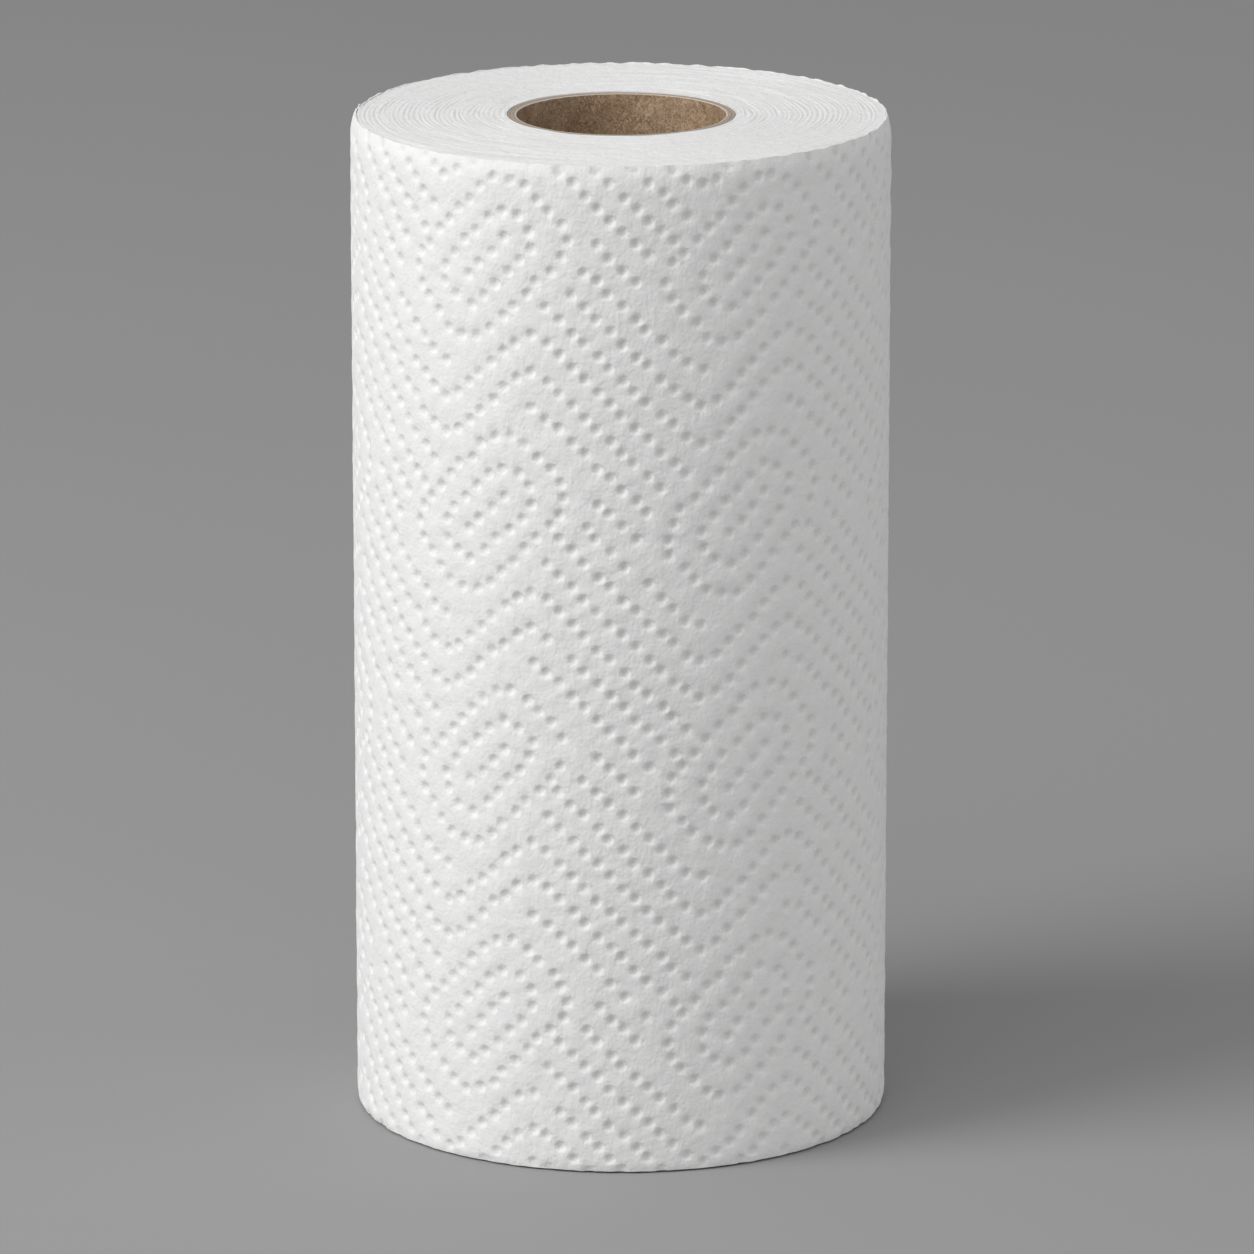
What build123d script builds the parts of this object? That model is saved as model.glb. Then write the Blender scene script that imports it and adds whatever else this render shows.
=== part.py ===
from build123d import *
import os

# A kitchen towel roll standing on its end: one long web of two-ply paper wound on a cardboard tube.
# Millimetres. +Z is the roll's axis, the origin is the centre of the base, and the roll's front is -Y.

# Driving dimensions
WEB_WIDTH = 225.0  # width of the paper web, which is the roll's height
ROLL_DIAMETER = 119.0  # across the outermost turn
TURN_PITCH = 0.48  # thickness of one wound turn of embossed two-ply paper
TAIL_ANGLE = 170.0  # where the free end of the web lies, in degrees from +X towards +Y
EDGE_ROLL_IN = 0.95  # how far the outermost turns lean in at the end faces
EDGE_ROLL_HEIGHT = 4.5  # height over which they lean in
CORE_BORE = 46.0  # hole through the cardboard tube
CORE_WALL = 2.2  # thickness of the tube's wall
CORE_SETBACK = 0.25  # how far each end of the tube lies inside the end face of the web
CORE_EDGE_ROUND = 0.5  # rounding of the tube's cut ends

# Sizes that follow from them
roll_radius = ROLL_DIAMETER / 2
core_radius = CORE_BORE / 2 + CORE_WALL
core_length = WEB_WIDTH - 2 * CORE_SETBACK


def half_winding(radius):
    """Half a turn of the wound paper out to this radius, solid to the axis, on the +Y side."""
    side = Line((radius, EDGE_ROLL_HEIGHT), (radius, WEB_WIDTH - EDGE_ROLL_HEIGHT))
    upper_edge = TangentArc(side @ 1, (radius - EDGE_ROLL_IN, WEB_WIDTH), tangent=side % 1)
    lower_edge = TangentArc(side @ 0, (radius - EDGE_ROLL_IN, 0), tangent=-(side % 0))
    rest = Polyline(upper_edge @ 1, (0, WEB_WIDTH), (0, 0), lower_edge @ 1)
    outline = Plane.XZ * make_face([lower_edge, side, upper_edge, rest])
    return revolve(outline, Axis.Z, 180)


def towel_web():
    """The wound web as one solid. Its section is a spiral of two half circles, and the second is
    struck from half a turn's thickness off the axis, so the web ends in a step one turn high."""
    off_axis = TURN_PITCH / 2
    outer_half = half_winding(roll_radius)
    inner_half = Pos(-off_axis, 0, 0) * Rot(0, 0, 180) * half_winding(roll_radius - off_axis)
    winding = Rot(0, 0, TAIL_ANGLE) * (outer_half + inner_half)
    hole = Cylinder(core_radius, WEB_WIDTH, align=(Align.CENTER, Align.CENTER, Align.MIN))
    return winding - hole


def core_tube():
    """The spiral-wound cardboard tube that the web is wound on, with softened cut ends."""
    base = Pos(0, 0, CORE_SETBACK)
    along = (Align.CENTER, Align.CENTER, Align.MIN)
    tube = base * (Cylinder(core_radius, core_length, align=along)
                   - Cylinder(CORE_BORE / 2, core_length, align=along))
    return fillet(tube.edges().filter_by(GeomType.CIRCLE), CORE_EDGE_ROUND)


os.makedirs("parts", exist_ok=True)
export_step(core_tube(), "parts/core_tube.step")
export_step(towel_web(), "parts/towel_web.step")
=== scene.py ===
import math
import random

import bmesh
import bpy
from mathutils import Matrix, Vector, geometry, kdtree, noise


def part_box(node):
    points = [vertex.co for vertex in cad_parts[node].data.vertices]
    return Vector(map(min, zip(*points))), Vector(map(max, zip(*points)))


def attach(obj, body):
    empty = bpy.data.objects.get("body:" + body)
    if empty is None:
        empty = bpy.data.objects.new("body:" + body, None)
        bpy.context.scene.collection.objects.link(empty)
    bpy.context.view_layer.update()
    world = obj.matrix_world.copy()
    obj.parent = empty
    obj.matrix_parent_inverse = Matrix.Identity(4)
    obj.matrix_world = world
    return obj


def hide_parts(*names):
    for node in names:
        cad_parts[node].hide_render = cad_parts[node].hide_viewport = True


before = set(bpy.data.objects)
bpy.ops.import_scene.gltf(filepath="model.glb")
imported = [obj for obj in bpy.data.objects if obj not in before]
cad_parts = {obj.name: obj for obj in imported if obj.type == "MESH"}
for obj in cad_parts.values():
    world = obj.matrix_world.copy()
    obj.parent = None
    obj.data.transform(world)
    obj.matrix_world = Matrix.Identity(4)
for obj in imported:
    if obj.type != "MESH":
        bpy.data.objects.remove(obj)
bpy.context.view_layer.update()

# A roll of kitchen towel that stands on its end. +Z is the roll's axis and -Y its front.


# Core tube: a liner and two plies of brown board, wound in a slow spiral round a mandrel, glued
# into one wall and sawn to length. The sawn ends show the plies, and the liner is the palest.
MM = 0.001  # sizes are in metres, written as millimetres times MM
FULL_TURN = 2 * math.pi
MERGE_DISTANCE = 1e-6
SHARP_ANGLE = math.radians(60)
core_low, core_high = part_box("core_tube")
CORE_RADIUS = (core_high[0] - core_low[0]) / 2
CORE_WALL = 2.2 * MM
CORE_BORE_RADIUS = CORE_RADIUS - CORE_WALL
CORE_STEPS = 192
WEB_GAP = 0.02 * MM
LINER_THICKNESS = 0.45 * MM
PLY_THICKNESS = 0.9 * MM
PLY_GROOVE = 0.10 * MM
PLY_DROP = 0.3 * PLY_GROOVE
GROOVE_FALL = 0.05 * MM
GROOVE_WIDTH = 0.12 * MM
SAWN_ROUGHNESS = 0.09 * MM
SAWN_ROUGHNESS_LENGTH = 2.1 * MM
LIP_ROUND = 0.22 * MM
LIP_MIDDLE = 0.3 * LIP_ROUND
BORE_SKIN = 0.06 * MM
BORE_STOPS = [(0.36, (0.150, 0.090, 0.044)),
              (0.50, (0.300, 0.198, 0.117)),
              (0.64, (0.520, 0.366, 0.230))]
SAWN_LINER = (0.66, 0.60, 0.52, 1)
SAWN_PLY_DARK = (0.34, 0.27, 0.21, 1)
SAWN_PLY_PALE = (0.52, 0.43, 0.35, 1)
WRINKLES_PER_METRE = 1000.0
MOTTLES_PER_METRE = 260.0
BOARD_CLOUDS_PER_METRE = 62.0
BOARD_RELIEF = 0.20 * MM


class Value:
    """A number that varies over a surface. Arithmetic on it adds Math nodes to its finish."""

    def __init__(self, finish, socket):
        self.finish = finish
        self.socket = socket

    def math(self, operation, other, reflected=False):
        first, second = (other, self) if reflected else (self, other)
        return self.finish.add("ShaderNodeMath", "Value", {"operation": operation}, {0: first, 1: second})

    def __add__(self, other):
        return self.math("ADD", other)

    def __radd__(self, other):
        return self.math("ADD", other, True)

    def __mul__(self, other):
        return self.math("MULTIPLY", other)

    def __rmul__(self, other):
        return self.math("MULTIPLY", other, True)

    def __gt__(self, other):
        return self.math("GREATER_THAN", other)


class Finish:
    """A node material round one Principled shader, whose constant sockets are set as it is made."""

    def __init__(self, name, constants):
        self.material = bpy.data.materials.new(name)
        self.material.use_nodes = True
        self.tree = self.material.node_tree
        self.shader = self.tree.nodes["Principled BSDF"]
        for socket, value in constants.items():
            self.shader.inputs[socket].default_value = value

    def add(self, kind, output, settings=None, inputs=None):
        """Adds a node, sets it up and feeds it, and returns the named output as a Value."""
        node = self.tree.nodes.new(kind)
        for name, setting in (settings or {}).items():
            if name == "stops":
                self.set_stops(node.color_ramp, setting)
            else:
                setattr(node, name, setting)
        for name, value in (inputs or {}).items():
            if isinstance(value, Value):
                self.tree.links.new(value.socket, node.inputs[name])
            else:
                node.inputs[name].default_value = value
        return Value(self, node.outputs[output])

    def set_stops(self, ramp, stops):
        """Gives a colour ramp these stops in rising order. A new ramp already has two."""
        for place, _ in stops[2:]:
            ramp.elements.new(place)
        for element, (place, colour) in zip(ramp.elements, stops):
            element.position = place
            element.color = (*colour, 1)

    def noise(self, place, scale, detail, roughness, distortion=0.0):
        return self.add("ShaderNodeTexNoise", "Fac", {},
                        {"Vector": place, "Scale": scale, "Detail": detail, "Roughness": roughness,
                         "Distortion": distortion})

    def stretched(self, place, scale):
        """The same place, stretched or squeezed along each axis."""
        return self.add("ShaderNodeMapping", "Vector", {}, {"Vector": place, "Scale": scale})

    def tint(self, factor, first, second):
        """A colour that goes from the first to the second as the factor goes from 0 to 1.
        A Mix node's colour sockets share their names with others, so they go by number."""
        return self.add("ShaderNodeMix", 2, {"data_type": "RGBA"}, {0: factor, 6: first, 7: second})

    def feed(self, socket, value):
        self.tree.links.new(value.socket, self.shader.inputs[socket])

    def bump(self, height, distance):
        """Relief of this height map, where a height of 1 stands the given distance proud."""
        normal = self.add("ShaderNodeBump", "Normal", {},
                          {"Height": height, "Distance": distance, "Strength": 1.0})
        self.feed("Normal", normal)


def piece_from(bm, name, finish, node):
    """Makes a bmesh a piece of the roll that stands for a CAD node."""
    mesh = bpy.data.meshes.new(name)
    bm.to_mesh(mesh)
    bm.free()
    mesh.shade_smooth()
    mesh.set_sharp_from_angle(angle=SHARP_ANGLE)
    mesh.materials.append(finish.material)
    piece = bpy.data.objects.new(name, mesh)
    bpy.context.scene.collection.objects.link(piece)
    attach(piece, "root")
    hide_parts(node)
    return piece


def board_finish():
    """Wrinkled brown board in the bore, and paler fibres where the saw has cut the wall."""
    board = Finish("core_board", {"Specular IOR Level": 0.45})
    place = board.add("ShaderNodeTexCoord", "Object")
    wrinkle = board.noise(place, WRINKLES_PER_METRE, detail=3.0, roughness=0.65, distortion=1.8)
    mottle = board.noise(place, MOTTLES_PER_METRE, detail=4.0, roughness=0.6)
    cloud = board.noise(place, BOARD_CLOUDS_PER_METRE, detail=3.0, roughness=0.5)
    shade = wrinkle * 0.68 + mottle * 0.24 + cloud * 0.08
    brown = board.add("ShaderNodeValToRGB", "Color", {"stops": BORE_STOPS}, {"Fac": shade})
    aside = board.add("ShaderNodeSeparateXYZ", "X", {}, {"Vector": place})
    forward = board.add("ShaderNodeSeparateXYZ", "Y", {}, {"Vector": place})
    radius = (aside * aside + forward * forward).math("POWER", 0.5)
    in_wall = radius > CORE_BORE_RADIUS + BORE_SKIN
    in_plies = radius > CORE_BORE_RADIUS + LINER_THICKNESS
    sawn_plies = board.tint(shade, SAWN_PLY_DARK, SAWN_PLY_PALE)
    sawn = board.tint(in_plies, SAWN_LINER, sawn_plies)
    board.feed("Base Color", board.tint(in_wall, brown, sawn))
    board.feed("Roughness", 0.42 + 0.2 * wrinkle)
    board.bump(wrinkle * 0.6 + mottle * 0.4, BOARD_RELIEF)
    return board


def core_tube():
    """The outline of the wall, from its bottom end up to its top end, spun round the axis."""
    bm = bmesh.new()
    inner, outer = CORE_BORE_RADIUS, CORE_RADIUS - WEB_GAP
    liner, middle = inner + LINER_THICKNESS, inner + LINER_THICKNESS + PLY_THICKNESS
    end = [(inner, LIP_ROUND), (inner + LIP_MIDDLE, LIP_MIDDLE), (inner + LIP_ROUND, 0),
           (liner, 0), (liner + GROOVE_FALL, PLY_GROOVE), (liner + GROOVE_WIDTH, PLY_DROP),
           (middle, PLY_DROP), (middle + GROOVE_FALL, PLY_GROOVE), (middle + GROOVE_WIDTH, 0),
           (outer - LIP_ROUND, 0), (outer, LIP_ROUND)]
    bottom = [Vector((radius, 0, core_low[2] + inset)) for radius, inset in reversed(end)]
    top = [Vector((radius, 0, core_high[2] - inset)) for radius, inset in end]
    rings = [bm.verts.new(point) for point in bottom + top]
    edges = [bm.edges.new((rings[i - 1], rings[i])) for i in range(len(rings))]
    bmesh.ops.spin(bm, geom=rings + edges, axis=(0, 0, 1), cent=(0, 0, 0), angle=FULL_TURN,
                   steps=CORE_STEPS, use_merge=True)
    bmesh.ops.remove_doubles(bm, verts=bm.verts, dist=MERGE_DISTANCE)
    for vert in bm.verts:
        sawn = noise.noise(vert.co / SAWN_ROUGHNESS_LENGTH) * SAWN_ROUGHNESS
        vert.co.z -= math.copysign(abs(sawn), vert.co.z - core_high[2] / 2)
    bmesh.ops.recalc_face_normals(bm, faces=bm.faces)
    return piece_from(bm, "core_tube_plies", board_finish(), "core_tube")


core_tube()


# Wound turns: the web below its outermost turn, about 70 turns of tissue. Each end face is the
# cut edges of the turns, pressed together, some a little higher than their neighbours.
web_low, web_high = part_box("towel_web")
ROLL_RADIUS = (web_high[0] - web_low[0]) / 2
ROLL_HEIGHT = web_high[2]
TAIL_ANGLE = math.radians(170)
TURNS = 71
PITCH = (ROLL_RADIUS - CORE_RADIUS) / TURNS
EDGE_ROLL_IN = 0.95 * MM
EDGE_ROLL_HEIGHT = 4.5 * MM
FOOT_ROLL_IN = 0.40 * MM
FOOT_ROLL_HEIGHT = 2.2 * MM
FOOT_LIFT = 0.44 * MM
FOOT_LIFT_REACH = 4.0 * MM
WALL_HEIGHTS = [1.1 * MM, 2.2 * MM, EDGE_ROLL_HEIGHT]
DIMPLE_ROOM = 0.70 * MM
DIMPLE_ROOM_REACH = 2.0 * MM
TURN_COLUMNS = 250
CUT_SHRINK = 9.0 * MM
WALL_LEAN_SHARE = 0.95
TOP_SINK = 0.12 * MM
FOOT_SINK = 0.03 * MM
TOP_SEED = 11.0
FOOT_SEED = 3.0
FACE_WAVE = 0.10 * MM
FACE_WAVE_LENGTH = 9.0 * MM
RIDGE_WIDTH = 1.12 * MM
RIDGE_HEIGHT = 0.064 * MM
RIPPLE_LENGTH = 2.2 * MM
TURN_STAGGER = 0.08 * MM
STAGGER_PER_TURN = 0.9
GROOVE_DEPTH = 0.05 * MM
LOOSE_TURN_RADIUS = 56.3 * MM
LOOSE_TURN_WIDTH = 0.35 * MM
LOOSE_TURN_ANGLE = math.radians(308)
LOOSE_TURN_SPREAD = 0.16
LOOSE_TURN_RISE = 0.30 * MM
FLUFF_PER_METRE = 1300.0
CREPES_PER_METRE = 620.0
PUCKERS_PER_METRE = 330.0
TISSUE_CLOUDS_PER_METRE = 120.0
TISSUE_RELIEF = 0.70 * MM
TISSUE_SHADED = (0.880, 0.880, 0.874, 1)
TISSUE_WHITE = (0.935, 0.935, 0.930, 1)
# Grey that the painted shade mixes into the paper.
TISSUE_PAINTED_SHADE = (0.60, 0.60, 0.59, 1)


def tissue_finish():
    """Soft white paper, creped across the web. Its painted-shade attribute greys grooves, end faces and
    dimples as painted shade.
    """
    tissue = Finish("tissue_paper", {"Specular IOR Level": 0.2, "Sheen Weight": 0.15,
                                     "Sheen Roughness": 0.6})
    place = tissue.add("ShaderNodeTexCoord", "Object")
    drawn_out = tissue.stretched(place, (1.0, 1.0, 0.5))
    fluff = tissue.noise(place, FLUFF_PER_METRE, detail=4.0, roughness=0.6)
    crepe = tissue.noise(drawn_out, CREPES_PER_METRE, detail=3.0, roughness=0.6)
    pucker = tissue.noise(place, PUCKERS_PER_METRE, detail=2.0, roughness=0.5)
    cloud = tissue.noise(place, TISSUE_CLOUDS_PER_METRE, detail=2.0, roughness=0.5)
    dulled = tissue.add("ShaderNodeAttribute", "Fac", {"attribute_name": "dulled"})
    white = tissue.tint(cloud * 0.5 + fluff * 0.5, TISSUE_SHADED, TISSUE_WHITE)
    # Painted shade: the paper turns grey where the attribute paints shade into grooves, end faces and
    # dimples.
    tissue.feed("Base Color", tissue.tint(dulled * 0.40, white, TISSUE_PAINTED_SHADE))
    tissue.feed("Roughness", 0.88 + 0.12 * fluff)
    tissue.bump(pucker * 0.50 + crepe * 0.28 + fluff * 0.22, TISSUE_RELIEF)
    return tissue


TISSUE = tissue_finish()


def turn_radius(turned):
    """Radius of the web's outer face after it has turned this far inwards from its tail."""
    return ROLL_RADIUS - PITCH * turned / FULL_TURN


def lean(height):
    """How far the outermost turns lean inwards at this height: near the top, and less at the foot."""
    at_foot = height < ROLL_HEIGHT / 2
    roll_in = FOOT_ROLL_IN if at_foot else EDGE_ROLL_IN
    reach = FOOT_ROLL_HEIGHT if at_foot else EDGE_ROLL_HEIGHT
    arc = (reach**2 + roll_in**2) / (2 * roll_in)
    into_edge = max(reach - min(height, ROLL_HEIGHT - height), 0)
    return arc - math.sqrt(arc**2 - into_edge**2)


def dimple_room(inside):
    """Room that the outermost turn's dimples take up in the turns below, this far in from an edge."""
    return DIMPLE_ROOM * (1 - math.exp(-(inside / DIMPLE_ROOM_REACH)**2))


def end_face(bm, dulled, level, outwards, sink, seed):
    """The cut edges of the turns at one end, as one spiral grid with a ridge and a groove in each
    turn. Its last column lies on its first, one turn further in, and they are merged."""
    half_turns = 2 * (TURNS - 1)
    grid = bmesh.ops.create_grid(bm, x_segments=TURN_COLUMNS, y_segments=half_turns, size=1)["verts"]
    for vert in grid:
        share = (vert.co.x + 1) / 2
        half_turn = round((vert.co.y + 1) / 2 * half_turns)
        is_groove = half_turn % 2
        turn = half_turn / 2 + share
        wound = turn_radius(FULL_TURN * (1 + share + half_turn / 2))
        leaning = lean(level) * math.exp((wound - ROLL_RADIUS) / CUT_SHRINK)
        angle = TAIL_ANGLE + FULL_TURN * share
        around = Vector((math.cos(angle), math.sin(angle), 0))

        drift = noise.noise(Vector((wound / FACE_WAVE_LENGTH, seed, 0)) + around * 1.3)
        stagger = noise.noise(Vector((turn * STAGGER_PER_TURN, seed + 20, 0)) + around * 2.5)
        ripple = noise.noise(Vector((wound / RIPPLE_LENGTH, seed + 40, 0)) + around * 3.0)
        wave = math.sin(FULL_TURN * wound / RIDGE_WIDTH + 2.5 * drift + 3.5 * ripple)
        ridge = wave * (0.8 + 1.2 * ripple)
        off_loose = Vector(((wound - LOOSE_TURN_RADIUS) / LOOSE_TURN_WIDTH,
                            (angle % FULL_TURN - LOOSE_TURN_ANGLE) / LOOSE_TURN_SPREAD))

        depth = sink + FACE_WAVE * drift + TURN_STAGGER * stagger - RIDGE_HEIGHT * ridge
        depth += is_groove * GROOVE_DEPTH * (0.6 + 0.8 * stagger)
        depth -= LOOSE_TURN_RISE * math.exp(-off_loose.length_squared)
        depth += FOOT_LIFT * (outwards < 0) * math.exp((wound - ROLL_RADIUS) / FOOT_LIFT_REACH)
        # Painted shade: the end faces a little darker than the wall, darker in the grooves and on sunken
        # turns, and lighter on raised ridges.
        vert[dulled] = max(0.15 + 0.25 * is_groove - 0.25 * ridge + 0.3 * stagger, 0)
        vert.co = around * max(wound - leaning, CORE_RADIUS)
        vert.co.z = level - outwards * max(depth, 0)
    bmesh.ops.remove_doubles(bm, verts=grid, dist=MERGE_DISTANCE)


def wound_turns():
    """Both end faces, joined by a wall at the core and one below the outermost turn."""
    bm = bmesh.new()
    dulled = bm.verts.layers.float.new("dulled")
    end_face(bm, dulled, 0.0, -1, FOOT_SINK, FOOT_SEED)
    end_face(bm, dulled, ROLL_HEIGHT, 1, TOP_SINK, TOP_SEED)
    between = (ROLL_RADIUS + CORE_RADIUS) / 2
    for is_outer in (False, True):
        rims = [edge for edge in bm.edges
                if edge.is_boundary and (edge.verts[0].co.xy.length > between) == is_outer]
        bmesh.ops.bridge_loops(bm, edges=rims)
    for height in WALL_HEIGHTS:
        for level in (height, ROLL_HEIGHT - height):
            bmesh.ops.bisect_plane(bm, geom=bm.verts[:] + bm.edges[:] + bm.faces[:],
                                   dist=MERGE_DISTANCE, plane_co=(0, 0, level), plane_no=(0, 0, 1))
    for vert in bm.verts:
        up, out = vert.co.z, vert.co.xy.length
        from_end = min(up, ROLL_HEIGHT - up)
        if from_end > WALL_HEIGHTS[0] / 2 and out > between:
            rims_lean = FOOT_ROLL_IN + (EDGE_ROLL_IN - FOOT_ROLL_IN) * up / ROLL_HEIGHT
            vert.co.xy *= 1 + (WALL_LEAN_SHARE * rims_lean - lean(up) - dimple_room(from_end)) / out
    bmesh.ops.recalc_face_normals(bm, faces=bm.faces)
    return piece_from(bm, "wound_turns", TISSUE, "towel_web")


wound_turns()


# Outermost turn: one perforated sheet from the web's free end, and the part of the next that
# completes the turn. The two plies are pressed together by rows of round dimples, set in a
# pattern of chevrons with nested loops between them, which is laid out in steps of a row's gap.
SHEET_LENGTH = 225.0 * MM
SHEET_THICKNESS = 0.34 * MM
THINNEST_PAPER = 0.06 * MM
TUCK_LENGTH = 5.0 * MM
TUCK_MARGIN = 3.0 * MM
FULL_TURN_LENGTH = math.pi * (2 * ROLL_RADIUS - PITCH)
ROWS_PER_REPEAT = 7
ROWS_DROPPED = 2
ROW_GAP_ALONG = 5.94 * MM
ROW_GAP_UP = 5.71 * MM
REPEAT = ROWS_PER_REPEAT * math.sqrt(2)
RISE_HALF_WIDTH = (ROWS_PER_REPEAT - ROWS_DROPPED) * math.sqrt(2) / 4
BEND_SOFTNESS = 0.45
ROW_SAMPLES = 400
MOTIF_ALONG = 73.3 * MM
MOTIF_UP = 34.3 * MM
DIMPLES_PER_ROW = 20
LOOPS_HALF_WIDTH = 2.5
LOOPS_HALF_LENGTH = 3.75
LOOP_MIDDLES = (-1.05, -0.35, 0.35, 1.05)
CORNER_STEPS = 8
DIMPLE_RADIUS = 1.46 * MM
DIMPLE_FLOOR = 0.55 * MM
DIMPLE_DEPTH = 0.62 * MM
LEAST_DEPTH = 0.78
MOST_DEPTH = 1.12
DIMPLE_RINGS = [(0, 1), (0.55 * MM, 6), (1.0 * MM, 9), (1.38 * MM, 9), (1.70 * MM, 9)]
DIMPLE_SCATTER = 0.25 * MM
CLOSEST_DIMPLES = 2.9 * MM
# How much shade is painted into the floors of the dimples.
DIMPLE_PAINTED_SHADE = 0.65
SHOULDER_DEPTH = 0.10 * MM
SHOULDER_REACH = 2.3 * MM
PILLOW = 0.18 * MM
PILLOW_WIDTH = 5.0 * MM
PUCKER = 0.08 * MM
PUCKER_WIDTH = 2.0 * MM
TAIL_LIFT = 0.10 * MM
TAIL_LIFT_LENGTH = 4.0 * MM
RIM_WAVE = 0.40 * MM
RIM_WAVE_LENGTH = 2.6 * MM
RIM_WAVE_REACH = 2.5 * MM
FOOT_WAVE_SHARE = 0.3
PAPER_GRAIN = 1.25 * MM
EDGE_GRAIN = 1.0 * MM
BACK_GRAIN = 6.0 * MM
GRAIN_SCATTER = 0.12
EDGE_ROOM = 0.55 * EDGE_GRAIN
RING_ROOM = 0.45 * PAPER_GRAIN
TIE_EVERY = 5.0 * MM
TIE_WIDTH = 1.2 * MM
CUT_HALF_GAP = 0.07 * MM


def row_path(x):
    """One row of the pattern over a repeat: it falls, rises across the middle strip, and falls."""
    def soft(distance):
        return math.sqrt(distance**2 + BEND_SOFTNESS**2)
    return -x + soft(x + RISE_HALF_WIDTH) - soft(x - RISE_HALF_WIDTH)


def evenly(path, count):
    """Points at even steps along a path of points."""
    lengths = [(after - before).length for before, after in zip(path, path[1:])]
    step = sum(lengths) / count
    points = []
    ahead = step / 2
    for before, after, length in zip(path, path[1:], lengths):
        while ahead <= length:
            points.append(before.lerp(after, ahead / length))
            ahead += step
        ahead -= length
    return points


def rounded_loop(half_width, half_length, corner, count):
    """Dimples evenly round a loop with round corners, which leans 45 degrees to the right."""
    outline = []
    for quarter in range(4):
        across = (half_width - corner) * (1 if quarter in (0, 3) else -1)
        along = (half_length - corner) * (1 if quarter < 2 else -1)
        for part in range(CORNER_STEPS + 1):
            bearing = math.radians(90 * quarter + 90 * part / CORNER_STEPS)
            outline.append(Vector((across + corner * math.cos(bearing),
                                   along + corner * math.sin(bearing))))
    outline.append(outline[0])
    lean_right = Matrix.Rotation(math.radians(-45), 2)
    return [lean_right @ point for point in evenly(outline, count)]


def pattern_points():
    """The pattern's dimples over more than the whole web, in steps of a row's gap: the nested
    loops of each repeat, and the rows wherever there are no loops."""
    across = [REPEAT * (i / ROW_SAMPLES - 0.5) for i in range(ROW_SAMPLES + 1)]
    row = evenly([Vector((x, row_path(x))) for x in across], DIMPLES_PER_ROW)
    row_drop = row_path(-REPEAT / 2) - row_path(REPEAT / 2)
    loops = [Vector((shift, shift)) / math.sqrt(2) for shift in LOOP_MIDDLES]
    loops += rounded_loop(1.0, 2.1, 0.8, 16)
    loops += rounded_loop(2.0, 3.15, 1.3, 28)
    found = []
    for repeat in range(-2, 7):
        aside = repeat * REPEAT
        found += [point + Vector((aside, motif * REPEAT)) for motif in range(-1, 5) for point in loops]
        for row_number in range(-30, 70):
            for point in row:
                up = point.y + row_number * math.sqrt(2) - repeat * row_drop
                above = (up + REPEAT / 2) % REPEAT - REPEAT / 2
                in_loops = (abs(point.x - above) < math.sqrt(2) * LOOPS_HALF_WIDTH
                            and abs(point.x + above) < math.sqrt(2) * LOOPS_HALF_LENGTH)
                if not in_loops:
                    found.append(Vector((point.x + aside, up)))
    return found


def dimple_places(start, end):
    """Where the dimples are on the flat web between two distances from its free end, and how deep.
    A dimple that would touch an earlier one is left out."""
    rng = random.Random(7)
    placed = []
    nearby = {}
    for point in pattern_points():
        along = MOTIF_ALONG + point.x * ROW_GAP_ALONG + rng.gauss(0, DIMPLE_SCATTER)
        up = MOTIF_UP + point.y * ROW_GAP_UP + rng.gauss(0, DIMPLE_SCATTER)
        depth = DIMPLE_DEPTH * rng.uniform(LEAST_DEPTH, MOST_DEPTH)
        if not (start < along < end and 0 < up < ROLL_HEIGHT):
            continue
        centre = Vector((along, up))
        cell = (int(along / CLOSEST_DIMPLES), int(up / CLOSEST_DIMPLES))
        around = [(cell[0] + i, cell[1] + j) for i in (-1, 0, 1) for j in (-1, 0, 1)]
        others = [other for place in around for other in nearby.get(place, [])]
        if all((other - centre).length > CLOSEST_DIMPLES for other in others):
            nearby.setdefault(cell, []).append(centre)
            placed.append((centre, depth))
    return placed


def sheet_outline(start, end):
    """The flat sheet's outline anticlockwise. Its cut sides stand back a little between the ties."""
    def cut_side(side, inwards):
        steps = round(ROLL_HEIGHT / EDGE_GRAIN)
        points = []
        for i in range(steps):
            up = ROLL_HEIGHT * i / steps
            from_tie = abs((up + TIE_EVERY / 2) % TIE_EVERY - TIE_EVERY / 2)
            points.append(Vector((side + inwards * (from_tie > TIE_WIDTH / 2) * CUT_HALF_GAP, up)))
        return points
    steps = round((end - start) / EDGE_GRAIN)
    bottom = [Vector((start + (end - start) * i / steps, 0)) for i in range(1, steps)]
    top = [Vector((point.x, ROLL_HEIGHT)) for point in reversed(bottom)]
    left = [Vector((point.x, ROLL_HEIGHT - point.y)) for point in cut_side(start, 1)]
    return cut_side(end, -1) + [Vector((end, ROLL_HEIGHT))] + top + left + [Vector((start, 0))] + bottom


def filling(start, end, grain, keep):
    """Points that fill the sheet in staggered rows at this grain, wherever keep(point) is true."""
    rng = random.Random(3)
    rows = round(ROLL_HEIGHT / (grain * math.sqrt(0.75)))
    columns = round((end - start) / grain)
    points = []
    for row in range(1, rows):
        stagger = 0.5 * (row % 2) - 0.25
        for column in range(1, columns):
            along = start + (end - start) * (column + stagger) / columns
            point = Vector((along, ROLL_HEIGHT * row / rows))
            point += grain * Vector((rng.uniform(-GRAIN_SCATTER, GRAIN_SCATTER),
                                     rng.uniform(-GRAIN_SCATTER, GRAIN_SCATTER)))
            if keep(point):
                points.append(point)
    return points


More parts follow.
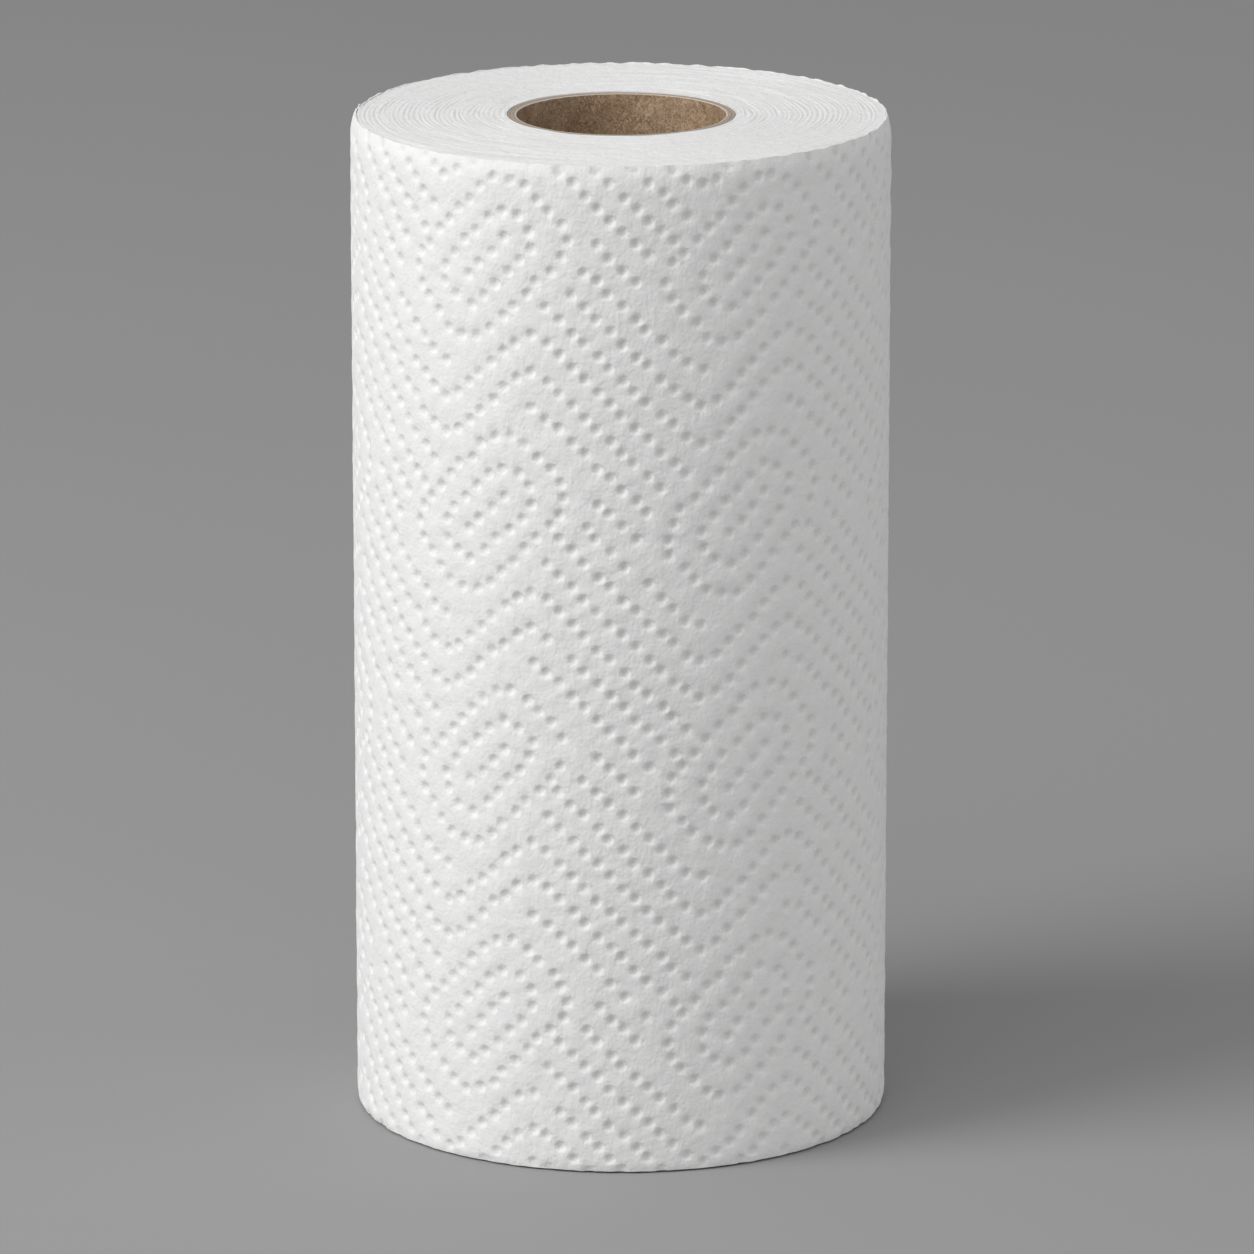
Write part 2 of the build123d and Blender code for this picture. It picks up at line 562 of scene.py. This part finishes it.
def fill_sheet(bm, outline, points):
    """Fills the outline with triangles that use every point. Returns their vertices and the rim."""
    border = [(i - 1, i) for i in range(1, len(outline))] + [(len(outline) - 1, 0)]
    places, _, faces, *_ = geometry.delaunay_2d_cdt(outline + points, border, [], 1, 1e-7)
    verts = [bm.verts.new((place.x, place.y, 0)) for place in places]
    for face in faces:
        bm.faces.new([verts[i] for i in face])
    rim = [edge for vert in verts for edge in vert.link_edges if edge.is_boundary]
    return verts, list(dict.fromkeys(rim))


def wind(vert):
    """Takes a point of the flat web, at its height over the web's outer face, to its place. A turn
    of t radians from the free end takes ROLL_RADIUS t - PITCH t^2 / 4 pi of web, solved for t."""
    along, up, height = vert.co
    turned = FULL_TURN / PITCH * (ROLL_RADIUS - math.sqrt(ROLL_RADIUS**2 - along * PITCH / math.pi))
    lift = TAIL_LIFT * math.exp(-along / TAIL_LIFT_LENGTH)
    radius = turn_radius(turned) - lean(up) + height + lift
    ragged = RIM_WAVE * noise.noise(Vector((along / RIM_WAVE_LENGTH, up, 0)))
    at_top = math.exp((up - ROLL_HEIGHT) / RIM_WAVE_REACH)
    at_foot = math.exp(-up / RIM_WAVE_REACH)
    angle = TAIL_ANGLE + turned
    rise = ragged * at_top + (FOOT_LIFT + FOOT_WAVE_SHARE * ragged) * at_foot
    vert.co = (radius * math.cos(angle), radius * math.sin(angle), up + rise)


def dimpled_sheet(name, start, end):
    """One sheet of the web: meshed flat round its dimples, pressed, backed, and wound on the roll.
    No operator meshes a sheet round thousands of dimples, so its triangles come from its points."""
    dimples = dimple_places(start, end)
    finder = kdtree.KDTree(len(dimples))
    for i, (centre, _) in enumerate(dimples):
        finder.insert(centre.to_3d(), i)
    finder.balance()

    def thickness(place):
        """Depth of the back, which is thin at the edges and where the web's end lies on its own turn."""
        from_tuck = max(min(place.x - TUCK_LENGTH - TUCK_MARGIN,
                            FULL_TURN_LENGTH - TUCK_MARGIN - place.x), 0)
        inside = min(place.x - start, end - place.x, place.y, ROLL_HEIGHT - place.y, from_tuck)
        return SHEET_THICKNESS + dimple_room(inside)

    rings = []
    for centre, _ in dimples:
        for radius, count in DIMPLE_RINGS:
            for i in range(count):
                bearing = FULL_TURN * (i / count + radius / MM)
                point = centre + radius * Vector((math.cos(bearing), math.sin(bearing)))
                if (start + EDGE_ROOM < point.x < end - EDGE_ROOM
                        and EDGE_ROOM < point.y < ROLL_HEIGHT - EDGE_ROOM):
                    rings.append(point)
    clear = DIMPLE_RINGS[-1][0] + RING_ROOM
    between = filling(start, end, PAPER_GRAIN, lambda point: finder.find(point.to_3d())[2] > clear)

    bm = bmesh.new()
    dulled = bm.verts.layers.float.new("dulled")
    outline = sheet_outline(start, end)
    face_verts, face_rim = fill_sheet(bm, outline, rings + between)
    for vert in face_verts:
        _, i, distance = finder.find(vert.co)
        wall = min(max((DIMPLE_RADIUS - distance) / (DIMPLE_RADIUS - DIMPLE_FLOOR), 0), 1)
        sunk = wall**2 * (3 - 2 * wall)
        pit = dimples[i][1] * sunk
        # Painted shade, darkest on the dimples' floors.
        vert[dulled] = DIMPLE_PAINTED_SHADE * sunk**2
        shoulder = SHOULDER_DEPTH * math.exp(-(distance / SHOULDER_REACH)**2)
        pillow = PILLOW * noise.noise(vert.co / PILLOW_WIDTH) + PUCKER * noise.noise(vert.co / PUCKER_WIDTH)
        vert.co.z = max(pillow - pit - shoulder, THINNEST_PAPER - thickness(vert.co))
    back_verts, back_rim = fill_sheet(bm, outline, filling(start, end, BACK_GRAIN, lambda point: True))
    for vert in back_verts:
        vert.co.z = -thickness(vert.co)
    bmesh.ops.bridge_loops(bm, edges=face_rim + back_rim)
    for vert in bm.verts:
        wind(vert)
    bmesh.ops.recalc_face_normals(bm, faces=bm.faces)
    return piece_from(bm, name, TISSUE, "towel_web")


dimpled_sheet("first_sheet", 0, SHEET_LENGTH)
dimpled_sheet("second_sheet", SHEET_LENGTH, FULL_TURN_LENGTH + TUCK_LENGTH)


# Floor, light and camera. The floor is a smooth pale board that fills the view. It is lit by a soft
# lamp from the left, a broader one from the front left, a weak low one from the right, and by even
# light from all round. The camera looks down on the roll from a little above it.
FLOOR_HALF_WIDTH = 8.0
FLOOR_CLOUDS_PER_METRE = 1.6
FLOOR_DARK = (0.340, 0.340, 0.340, 1)
FLOOR_PALE = (0.366, 0.366, 0.366, 1)
LAMP_DISTANCE = 3.0
EVEN_LIGHT = 0.395
CAMERA_PLACE = (0.00124, -1.9126, 0.6037)
CAMERA_TILT = math.radians(75.485)
CAMERA_LENS = 254.8
CAMERA_SENSOR = 36.0

# Each lamp's name, its bearing from the front and its elevation in degrees, its width and its watts.
LAMPS = [("soft_lamp", -66, 36, 1.6, 45.5),
         ("broad_lamp", -40, 40, 3.6, 27.0),
         ("fill_lamp", 78, 8, 1.6, 13.0)]


def floor_finish():
    board = Finish("pale_floor", {"Specular IOR Level": 0.2})
    place = board.add("ShaderNodeTexCoord", "Object")
    cloud = board.noise(place, FLOOR_CLOUDS_PER_METRE, detail=2.0, roughness=0.5)
    board.feed("Base Color", board.tint(cloud, FLOOR_DARK, FLOOR_PALE))
    board.feed("Roughness", 0.78 + 0.1 * cloud)
    return board


def pale_floor():
    bm = bmesh.new()
    bmesh.ops.create_grid(bm, x_segments=8, y_segments=8, size=FLOOR_HALF_WIDTH)
    mesh = bpy.data.meshes.new("floor")
    bm.to_mesh(mesh)
    bm.free()
    mesh.materials.append(floor_finish().material)
    floor = bpy.data.objects.new("floor", mesh)
    bpy.context.scene.collection.objects.link(floor)


def facing(lamp, place, target):
    """Puts a lamp at a place, facing a target."""
    lamp.location = place
    lamp.rotation_euler = (target - place).to_track_quat("-Z", "Y").to_euler()
    bpy.context.scene.collection.objects.link(lamp)


def lights():
    scene = bpy.context.scene
    scene.view_settings.view_transform = "Standard"
    scene.world = bpy.data.worlds.new("studio")
    scene.world.use_nodes = True
    sky = scene.world.node_tree.nodes["Background"]
    sky.inputs["Color"].default_value = (1.0, 1.0, 1.0, 1)
    sky.inputs["Strength"].default_value = EVEN_LIGHT
    aim = Vector((0, 0, ROLL_HEIGHT / 2))
    for name, bearing, elevation, width, watts in LAMPS:
        lamp = bpy.data.lights.new(name, "AREA")
        lamp.shape = "DISK"
        lamp.size = width
        lamp.energy = watts
        away = Matrix.Rotation(math.radians(bearing), 3, "Z") @ Vector((0, -1, 0))
        away = away * math.cos(math.radians(elevation)) + Vector((0, 0, math.sin(math.radians(elevation))))
        facing(bpy.data.objects.new(name, lamp), aim + away * LAMP_DISTANCE, aim)


def camera():
    lens = bpy.data.cameras.new("camera")
    lens.lens = CAMERA_LENS
    lens.sensor_width = CAMERA_SENSOR
    viewer = bpy.data.objects.new("camera", lens)
    viewer.location = CAMERA_PLACE
    viewer.rotation_euler = (CAMERA_TILT, 0, 0)
    bpy.context.scene.collection.objects.link(viewer)
    bpy.context.scene.camera = viewer


pale_floor()
lights()
camera()
